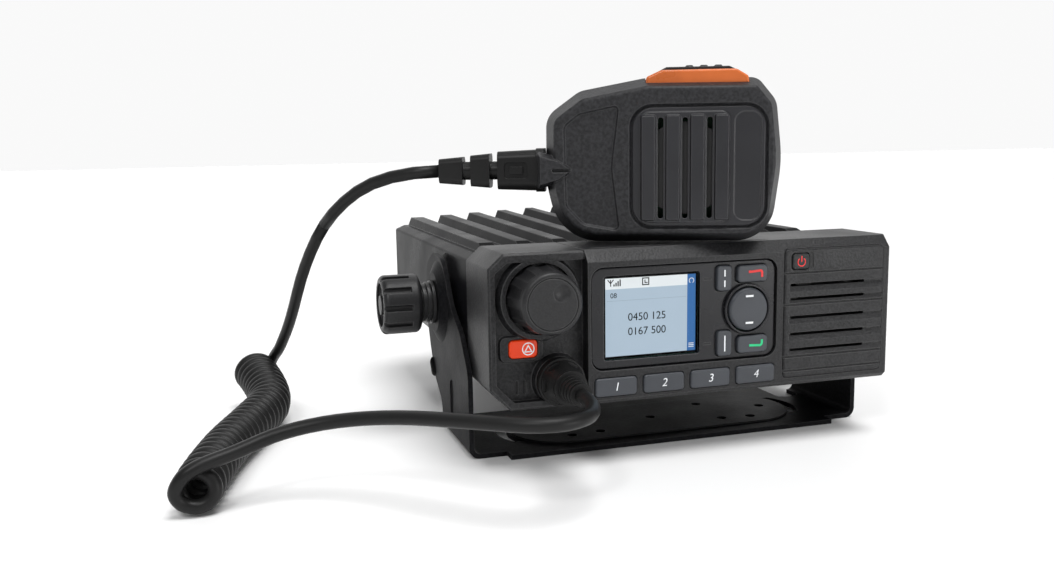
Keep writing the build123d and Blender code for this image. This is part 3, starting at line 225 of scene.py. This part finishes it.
def finish_of(name, colour, roughness, metallic=0.0, grain=1800, strength=0.25, depth=0.00006,
              rounding=0.0003, mottle=0.12, stretch=(1, 1, 1), shine=0.4, edge_highlight=0.0):
    """Moulded, painted or metal surface: colour and gloss wander a little, with a fine grain, and
    where asked a painted highlight lightens its edges.
    """
    material, shader = new_material(name, colour, roughness, metallic)
    shader.inputs["Specular IOR Level"].default_value = 0.5 if metallic else shine
    slow = noise(material, 45, 4)
    fine = noise(material, grain, 2, stretch)
    dark = tuple(c * (1 - mottle) for c in colour)
    light = tuple(min(1, c * (1 + mottle)) for c in colour)
    tint = vary_colour(material, shader, fine if mottle > SPECKLED else slow, dark, light)
    gloss = spread(material, slow, roughness - 0.05, roughness + 0.05)
    link(material, gloss, shader.inputs["Roughness"])
    rounded = relief(material, shader, fine, strength, depth, rounding)
    # painted highlight: the colour is lightened along the edges by this much
    if edge_highlight:
        rub_edges(material, shader, tint, rounded, tuple(min(1, c + edge_highlight) for c in colour))
    return material


def clear_lens():
    """Clear plastic window over the display."""
    material, shader = new_material("lens_clear", (0.95, 0.97, 1.0), 0.03)
    shader.inputs["Transmission Weight"].default_value = 1.0
    shader.inputs["IOR"].default_value = 1.05
    smear = noise(material, 60, 3)
    link(material, spread(material, smear, 0.02, 0.06), shader.inputs["Roughness"])
    return material


def lit(name, colour, strength):
    """Lit field of the display, a little uneven, as a backlight is."""
    base = tuple(c * 0.06 for c in colour)
    material, shader = new_material(name, base, 0.5)
    shader.inputs["Specular IOR Level"].default_value = 0.1
    glow = noise(material, 25, 1)
    vary_colour(material, shader, glow, tuple(c * 0.9 for c in base), base)
    shader.inputs["Emission Color"].default_value = (*colour, 1)
    shader.inputs["Emission Strength"].default_value = strength
    return material


def make_finishes():
    """One material for each of the record's slots."""
    return {
        # Where a finish is given an edge lightening, that is a painted highlight along its edges.
        "bracket_paint": finish_of("bracket_powder_coat", (0.009, 0.009, 0.010), 0.44, grain=900,
                                   strength=0.5, depth=0.00012, mottle=0.4, shine=0.04, edge_highlight=0.05),
        "rubber_pad": finish_of("rubber_matte", (0.015, 0.015, 0.015), 0.75, shine=0.15),
        "steel": finish_of("steel_plated", (0.55, 0.55, 0.56), 0.32, 1.0, stretch=(1, 8, 8)),
        "black_steel": finish_of("steel_blackened", (0.014, 0.014, 0.015), 0.38, edge_highlight=0.03),
        "cast_black": finish_of("cast_satin_black", (0.005, 0.005, 0.006), 0.30, grain=1200,
                                strength=0.3, depth=0.00006, rounding=0.0008, shine=0.02,
                                edge_highlight=0.09),
        "housing_plastic": finish_of("housing_textured", (0.013, 0.013, 0.014), 0.42, grain=1100,
                                     strength=0.8, depth=0.00018, rounding=0.0006, mottle=0.55,
                                     shine=0.3, edge_highlight=0.06),
        "frame_plastic": finish_of("frame_semi_gloss", (0.007, 0.007, 0.009), 0.28,
                                   strength=0.08, rounding=0.0007, shine=0.36, edge_highlight=0.06),
        "key_plastic": finish_of("key_silky", (0.040, 0.044, 0.052), 0.40, rounding=0.0006,
                                 edge_highlight=0.03),
        "emergency_orange": finish_of("orange_cap", (0.80, 0.050, 0.006), 0.34, strength=0.1),
        "lens": clear_lens(),
        "display": lit("display_field", (0.43, 0.53, 0.62), 0.85),
        "board_green": finish_of("board_green", (0.02, 0.12, 0.05), 0.4),
        "shield_metal": finish_of("shield_tin", (0.7, 0.7, 0.72), 0.35, 1.0),
        "brass_contact": finish_of("socket_nickel", (0.72, 0.7, 0.64), 0.25, 1.0),
        "speaker_dark": finish_of("speaker_frame", (0.03, 0.03, 0.03), 0.5),
        "knob_rubber": finish_of("knob_matte", (0.011, 0.011, 0.012), 0.42, grain=1400, mottle=0.3,
                                 strength=0.4, rounding=0.0007, shine=0.4, edge_highlight=0.04),
        "mic_plastic": finish_of("mic_leather_grain", (0.018, 0.018, 0.020), 0.5, grain=800,
                                 strength=0.8, depth=0.0002, rounding=0.0007, mottle=0.4,
                                 shine=0.3, edge_highlight=0.04),
        "mic_insert": finish_of("mic_insert_satin", (0.016, 0.016, 0.019), 0.36, strength=0.12,
                                rounding=0.0006, shine=0.4, edge_highlight=0.05),
        "trim_orange": finish_of("trim_orange_clear", (0.60, 0.14, 0.03), 0.3, strength=0.08),
        "cord_black": finish_of("cord_soft_black", (0.010, 0.010, 0.010), 0.42, grain=900,
                                strength=0.15, rounding=0.0004, shine=0.22),
    }


def dress_nodes(finishes):
    """Gives every carried-over node the finish of its slot in the record."""
    for part in frame["record"]["subparts"]:
        mesh = nodes[part["node"]].data
        mesh.materials.clear()
        mesh.materials.append(finishes[part["material_slot"]])


# ---------------------------------------------------------------- cord
LEAD = 5.2 * MM
COIL_RADIUS = 6.4 * MM       # of the cord's centre line round the coil's axis
COIL_GROWTH = 1.1 * MM       # the radius grows by this much towards the far end
CLOSE_PITCH = 5.3 * MM
LOOSE_TURNS = 5
ALL_TURNS = 28.75
FLATTENED_TURNS = 1.5        # the first turns are pressed down by this part of their height
FLATTENING = 0.22
POINTS_A_TURN = 12
SPLIT_X = -0.135             # the upper lead becomes a piece of its own to the right of this
LOWER_ROUTE = [
    (-59.5, -72.0, 35.3),
    (-59.5, -85.0, 35.3),
    (-67.2, -100.6, 34.9),
    (-84.4, -104.4, 35.0),
    (-104.0, -88.0, 34.4),
    (-125.0, -64.0, 32.0),
    (-145.0, -49.5, 28.8),
    (-164.0, -46.0, 25.4),
    (-178.0, -49.0, 21.2),
]
COIL_ROUTE = [
    (-194.0, -54.0, 9.0),
    (-186.5, -14.0, 9.3),
    (-172.0, 27.0, 9.6),
    (-158.5, 63.0, 11.0),
    (-167.5, 98.0, 17.5),
]
UPPER_ROUTE = [
    (-154.5, 86.0, 31.0),
    (-150.0, 74.0, 45.0),
    (-144.5, 54.0, 73.0),
    (-134.0, 34.0, 98.0),
    (-113.8, 12.4, 114.2),
    (-92.57, 3.53, 114.5),
]


def in_metres(points):
    return [Vector(p) * MM for p in points]


def spline_points(points, steps):
    """Points along the smooth line that has the given control points."""
    curve = bpy.data.curves.new("route", "CURVE")
    curve.dimensions = "3D"
    spline = curve.splines.new("NURBS")
    spline.points.add(len(points) - 1)
    for target, point in zip(spline.points, points):
        target.co = (*point, 1)
    spline.order_u = 3
    spline.use_endpoint_u = True
    spline.resolution_u = steps
    holder = bpy.data.objects.new("route", curve)
    mesh = bpy.data.meshes.new_from_object(holder)
    line = [v.co.copy() for v in mesh.vertices]
    bpy.data.objects.remove(holder)
    bpy.data.curves.remove(curve)
    bpy.data.meshes.remove(mesh)
    return line


def length_of(line):
    return sum((b - a).length for a, b in zip(line, line[1:]))


def at_distance(line, distance):
    """Point and direction at a distance along a line."""
    for a, b in zip(line, line[1:]):
        run = (b - a).length
        if distance <= run:
            return a.lerp(b, distance / run), (b - a).normalized()
        distance -= run
    return line[-1].copy(), (line[-1] - line[-2]).normalized()


def coil_points():
    """Turns of the curly part: open and flattened at its near end, wider at its far end."""
    axis = spline_points(in_metres(COIL_ROUTE), 12)
    total = length_of(axis)
    steps = round(ALL_TURNS * POINTS_A_TURN)
    loose_steps = LOOSE_TURNS * POINTS_A_TURN
    loose_pitch = (total - CLOSE_PITCH * (ALL_TURNS - LOOSE_TURNS)) / LOOSE_TURNS
    grow = 1 / cos(pi / POINTS_A_TURN)    # the line passes inside its control points
    points = []
    distance = 0.0
    for count in range(2, steps + 1):
        along = count / steps
        pitch = loose_pitch if count <= loose_steps else CLOSE_PITCH
        distance += pitch / POINTS_A_TURN
        middle, ahead = at_distance(axis, distance)
        across = ahead.cross(Vector((0, 0, 1))).normalized()
        upward = across.cross(ahead)
        turn = pi / 2 + 2 * pi * count / POINTS_A_TURN
        radius = (COIL_RADIUS + COIL_GROWTH * along ** 2) * grow
        flatness = 1 - FLATTENING * max(0.0, 1 - count / (FLATTENED_TURNS * POINTS_A_TURN))
        points.append(middle + radius * (cos(turn) * across + flatness * sin(turn) * upward))
    return points


def bridge(start, start_way, end, end_way, steps):
    """Points between two places, leaving and arriving along the given directions."""
    run = (end - start).length
    leave, arrive = start_way.normalized() * run, end_way.normalized() * run
    points = []
    for count in range(1, steps):
        t = count / steps
        points.append(
            (2 * t ** 3 - 3 * t ** 2 + 1) * start + (t ** 3 - 2 * t ** 2 + t) * leave
            + (3 * t ** 2 - 2 * t ** 3) * end + (t ** 3 - t ** 2) * arrive
        )
    return points


def cord_line():
    """Smooth centre line of the whole cord, from the plug to the microphone."""
    lower, coil, upper = in_metres(LOWER_ROUTE), coil_points(), in_metres(UPPER_ROUTE)
    near = bridge(lower[-1], lower[-1] - lower[-2], coil[0], coil[1] - coil[0], 5)
    far = bridge(coil[-1], coil[-1] - coil[-2], upper[0], upper[1] - upper[0], 5)
    return spline_points(lower + near + coil + far + upper, 4)


def tube_mesh(name, line, radius, sides=14):
    """Closed round tube along a line, with frames carried from point to point."""
    mesh = bmesh.new()
    side = (line[1] - line[0]).cross(Vector((0, 0, 1))).normalized()
    rings = []
    for index, point in enumerate(line):
        ahead = (line[min(index + 1, len(line) - 1)] - line[max(index - 1, 0)]).normalized()
        side = (side - ahead * side.dot(ahead)).normalized()
        other = ahead.cross(side)
        ring = []
        for count in range(sides):
            turn = 2 * pi * count / sides
            ring.append(mesh.verts.new(point + radius * (cos(turn) * side + sin(turn) * other)))
        rings.append(ring)
    for first, second in zip(rings, rings[1:]):
        for count in range(sides):
            after = (count + 1) % sides
            mesh.faces.new((first[count], first[after], second[after], second[count]))
    mesh.faces.new(list(reversed(rings[0])))
    mesh.faces.new(rings[-1])
    return piece_from(name, mesh)


def piece_from(name, mesh, smooth=True):
    """Object made from mesh work, with smooth shading."""
    bmesh.ops.recalc_face_normals(mesh, faces=mesh.faces)
    data = bpy.data.meshes.new(name)
    mesh.to_mesh(data)
    mesh.free()
    piece = bpy.data.objects.new(name, data)
    bpy.context.scene.collection.objects.link(piece)
    for polygon in data.polygons:
        polygon.use_smooth = smooth
    return piece


def add_cord(finish):
    """The microphone's cord: a curly part on the floor between two straight leads."""
    line = cord_line()
    split = next(i for i in range(len(line) - 1, 0, -1) if line[i].x < SPLIT_X)
    curly = tube_mesh("curly_cord", line[:split + 1], LEAD / 2)
    top = tube_mesh("cord_top_lead", line[split:], LEAD / 2)
    for piece in (curly, top):
        piece.data.materials.append(finish)
    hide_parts("cord_coil", "cord_lower_lead", "cord_upper_lead")
    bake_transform(curly)
    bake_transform(top)


# ---------------------------------------------------------------- markings
INK_THICKNESS = 0.06 * MM
INK_ROOT = 0.2 * MM          # how far the strokes reach into the face
SHARPEST_MITRE = 0.4


def stroke_outline(points, width, closed=False):
    """Left and right sides of a pen stroke through the points, mitred at its corners."""
    lefts, rights = [], []
    count = len(points)
    for index, point in enumerate(points):
        before = points[index - 1] if index or closed else None
        after = points[(index + 1) % count] if index < count - 1 or closed else None
        ways = []
        for a, b in ((before, point), (point, after)):
            if a is not None and b is not None:
                run = hypot(b[0] - a[0], b[1] - a[1])
                ways.append(((b[0] - a[0]) / run, (b[1] - a[1]) / run))
        normal = Vector((-sum(w[1] for w in ways), sum(w[0] for w in ways))).normalized()
        square = -ways[0][1] * normal.x + ways[0][0] * normal.y
        reach = width / 2 / max(square, SHARPEST_MITRE)
        lefts.append((point[0] + normal.x * reach, point[1] + normal.y * reach))
        rights.append((point[0] - normal.x * reach, point[1] - normal.y * reach))
    return lefts, rights


def marking(name, body, face, strokes, material):
    """Thin printed strokes on a face that looks along -Y; places are (x, z) in millimetres."""
    mesh = bmesh.new()
    for points, width, closed in strokes:
        lefts, rights = stroke_outline(points, width, closed)
        spans = len(points) if closed else len(points) - 1
        fronts = []
        for x, z in lefts + rights:
            fronts.append(mesh.verts.new((x * MM, face - INK_THICKNESS, z * MM)))
        faces = []
        for index in range(spans):
            after = (index + 1) % len(points)
            quad = (fronts[index], fronts[after], fronts[len(points) + after],
                    fronts[len(points) + index])
            faces.append(mesh.faces.new(quad))
        grown = bmesh.ops.extrude_face_region(mesh, geom=faces)
        for item in grown["geom"]:
            if isinstance(item, bmesh.types.BMVert):
                item.co.y = face + INK_ROOT
    piece = piece_from(name, mesh, smooth=False)
    piece.data.materials.append(material)
    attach(piece, body)


def arc(centre, radius, start, end, steps=20):
    """Points of an arc, angles in degrees, anticlockwise as the user sees it."""
    return [
        (centre[0] + radius * cos(radians(start + (end - start) * k / steps)),
         centre[1] + radius * sin(radians(start + (end - start) * k / steps)))
        for k in range(steps + 1)
    ]


def middle_of(node):
    """Middle of a node seen from the front, in millimetres, and its front face in metres."""
    low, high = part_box(node)
    return (low.x + high.x) / 2 / MM, (low.z + high.z) / 2 / MM, low.y


def add_key_marks(white, red, green):
    """Signs printed on the keys."""
    x, z, face = middle_of("upper_soft_key")
    marking("upper_soft_mark", "upper_soft_key", face,
            [([(x, z + start), (x, z + end)], 0.55, False)
             for start, end in ((3.4, 0.8), (-0.8, -3.4))],
            white)
    x, z, face = middle_of("lower_soft_key")
    marking("lower_soft_mark", "lower_soft_key", face,
            [([(x, z + 3.2), (x, z - 3.2)], 0.55, False)], white)
    x, z, face = middle_of("navigation_rocker")
    marking("navigation_mark", "navigation_rocker", face,
            [([(x - 1.7, z + up), (x + 1.7, z + up)], 0.8, False) for up in (-5.4, 5.4)],
            white)
    x, z, face = middle_of("end_key")
    hook = [(x - 1.6, z + 1.3), (x - 1.4, z + 0.7), (x + 2.6, z + 1.0)]
    hook += arc((x + 3.2, z + 0.2), 0.9, 80, 0, 5)
    marking("end_mark", "end_key", face, [(hook + [(x + 4.1, z - 1.6)], 0.95, False)], red)
    x, z, face = middle_of("call_key")
    hook = [(x - 1.6, z - 0.5), (x + 2.4, z - 0.7)] + arc((x + 3.0, z + 0.3), 1.1, 280, 360, 5)
    marking("call_mark", "call_key", face, [(hook + [(x + 4.1, z + 1.6)], 0.95, False)], green)
    x, z, face = middle_of("power_key")
    marking("power_mark", "power_key", face,
            [(arc((x, z - 0.2), 1.7, 125, 415, 20), 0.45, False),
             ([(x, z + 2.3), (x, z - 0.2)], 0.5, False)],
            red)
    x, z, face = middle_of("emergency_key")
    marking("emergency_mark", "emergency_key", face,
            [(arc((x + 1.9, z), 2.3, 0, 342, 19), 0.45, True),
             (arc((x + 1.9, z - 0.3), 1.6, 90, 330, 2), 0.45, True)],
            white)


def numerals(name, body, words, size, place, material, slant=0.0):
    """Printed numbers facing the user, centred on a place in millimetres."""
    text = bpy.data.curves.new(name, "FONT")
    text.body = words
    text.size = size * MM
    text.align_x = "CENTER"
    text.align_y = "CENTER"
    text.extrude = INK_THICKNESS
    text.shear = slant
    holder = bpy.data.objects.new(name, text)
    data = bpy.data.meshes.new_from_object(holder)
    bpy.data.objects.remove(holder)
    middle = Vector(place) * MM
    data.transform(Matrix.Translation(middle) @ Matrix.Rotation(pi / 2, 4, "X"))
    data.materials.clear()
    data.materials.append(material)
    piece = bpy.data.objects.new(name, data)
    bpy.context.scene.collection.objects.link(piece)
    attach(piece, body)


def add_key_numbers(white):
    """Numbers 1 to 4 on the programmable keys."""
    for number in range(1, 5):
        node = f"programmable_key_{number}"
        x, z, face = middle_of(node)
        numerals(f"number_{number}", node, str(number), 4.6, (x, face / MM, z), white,
                 slant=0.2)


# ---------------------------------------------------------------- display picture
FIELD_THICKNESS = 0.05


def picture_patch(name, low, high, depth, material):
    """Flat coloured field of the display, from its low corner to its high one, in millimetres."""
    mesh = bmesh.new()
    middle = Vector(((low[0] + high[0]) / 2, depth, (low[1] + high[1]) / 2)) * MM
    bmesh.ops.create_cube(mesh, size=1)
    for vertex in mesh.verts:
        vertex.co.x = middle.x + vertex.co.x * (high[0] - low[0]) * MM
        vertex.co.y = middle.y + vertex.co.y * FIELD_THICKNESS * MM
        vertex.co.z = middle.z + vertex.co.z * (high[1] - low[1]) * MM
    bmesh.ops.bevel(mesh, geom=mesh.edges, offset=0.01 * MM, segments=1)
    piece = piece_from(name, mesh, smooth=False)
    piece.data.materials.append(material)
    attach(piece, "radio")


def add_display():
    """Picture on the display: a status strip, a pale field and a blue strip, with plain signs."""
    low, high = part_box("display_module")
    left, bottom = low.x / MM, low.z / MM
    right, top = high.x / MM, high.z / MM
    front = low.y / MM
    surround_face, field_face = front - 0.05, front - 0.12
    strip_low = top - 5.2        # lower edge of the status strip
    menu_left = right - 4.6      # left edge of the blue strip
    edge = 1.0                   # dark rim round the picture
    rim = lit("display_rim", (0.01, 0.012, 0.015), 0.02)
    picture_patch("display_surround", (left, bottom), (right, top), surround_face, rim)
    picture_patch("display_field", (left + edge, bottom + edge), (menu_left, strip_low),
                  field_face, lit("field_blue_grey", (0.43, 0.53, 0.62), 0.95))
    picture_patch("display_strip", (left + edge, strip_low), (menu_left, top - edge), field_face,
                  lit("strip_white", (0.80, 0.84, 0.85), 0.95))
    picture_patch("display_menu", (menu_left, bottom + edge), (right - edge, top - edge),
                  field_face, lit("menu_blue", (0.05, 0.17, 0.43), 0.85))
    ink = lit("display_ink", (0.01, 0.012, 0.02), 0.0)
    pale = lit("display_pale", (0.85, 0.9, 0.95), 0.7)
    face = (front - 0.14) * MM
    # aerial with four rising bars
    x = left + 3.2
    z = strip_low + 1.1
    signal = [([(x, z), (x, z + 2.6)], 0.35, False),
              ([(x - 1.2, z + 2.6), (x, z + 1.2)], 0.35, False),
              ([(x + 1.2, z + 2.6), (x, z + 1.2)], 0.35, False)]
    for count, rise in enumerate((0.8, 1.4, 2.0, 2.6)):
        bar = x + 1.4 + 0.85 * count
        signal.append(([(bar, z), (bar, z + rise)], 0.5, False))
    marking("display_signal", "radio", face, signal, ink)
    x = (left + menu_left) / 2
    square = [(x - 1.3, z), (x + 1.3, z), (x + 1.3, z + 2.6), (x - 1.3, z + 2.6)]
    marking("display_square", "radio", face,
            [(square, 0.4, True),
             ([(x - 0.3, z + 2.0), (x - 0.3, z + 0.8), (x + 0.8, z + 0.8)], 0.35, False)],
            ink)
    # menu and return signs on the blue strip
    x = (menu_left + right - edge) / 2
    z = bottom + edge + 2.2
    rows = [([(x - 1.1, z + 0.7 * k), (x + 1.1, z + 0.7 * k)], 0.35, False) for k in (-1, 0, 1)]
    marking("display_menu_sign", "radio", face, rows, pale)
    marking("display_return_sign", "radio", face,
            [(arc((x, top - edge - 2.6), 1.0, -60, 240, 12), 0.3, False)], pale)
    # two lines of plain numbers stand for the shown messages
    x = (left + menu_left) / 2 + 0.6
    z = (bottom + strip_low) / 2
    for name, words, rise in (("upper", "0450 125", 2.3), ("lower", "0167 500", -3.4)):
        numerals(f"display_{name}_numbers", "radio", words, 4.3, (x, face / MM, z + rise), ink)
    faint = lit("display_faint", (0.30, 0.38, 0.46), 0.9)
    level = strip_low - 4.6
    rule = [([(left + edge + 0.5, level), (menu_left - 0.5, level)], 0.12, False)]
    marking("display_rule", "radio", face, rule, faint)
    numerals("display_small_number", "radio", "08", 2.8, (left + 4.4, face / MM, strip_low - 2.6),
             ink)


add_camera()
add_studio()
finishes = make_finishes()
dress_nodes(finishes)
add_cord(finishes["cord_black"])
white_ink = finish_of("ink_white", (0.8, 0.82, 0.84), 0.5, strength=0.05)
red_ink = finish_of("ink_red", (0.75, 0.03, 0.03), 0.5, strength=0.05)
green_ink = finish_of("ink_green", (0.02, 0.5, 0.2), 0.5, strength=0.05)
add_key_marks(white_ink, red_ink, green_ink)
add_key_numbers(white_ink)
add_display()
